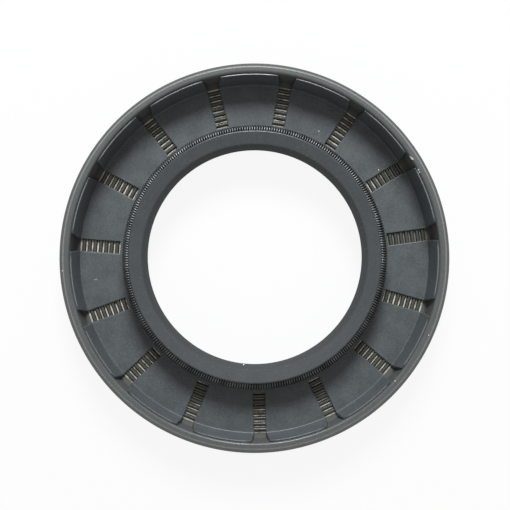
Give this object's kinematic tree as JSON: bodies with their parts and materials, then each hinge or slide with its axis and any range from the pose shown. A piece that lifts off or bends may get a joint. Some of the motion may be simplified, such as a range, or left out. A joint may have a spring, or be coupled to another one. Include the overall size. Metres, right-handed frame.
{
  "type": "radial shaft seal",
  "caption": "Rubber-covered radial shaft seal: a sealing lip on a steel case, loaded by a garter spring, pressed into a housing to keep oil in round a turning shaft.",
  "frame": {"origin": "centre of the back face, on the shaft's axis", "axes": "+Z along the shaft's axis towards the spring side; +X and +Y across, as the picture's right and up"},
  "size_m": [0.0804, 0.0804, 0.01],
  "materials": {
    "rubber": "matt moulded",
    "case_steel": "bonding coat, brownish gold",
    "spring_steel": "drawn wire"
  },
  "bodies": {
    "root": {"rubber_body": "rubber", "steel_case": "case_steel", "garter_spring": "spring_steel"}
  },
  "joints": []
}
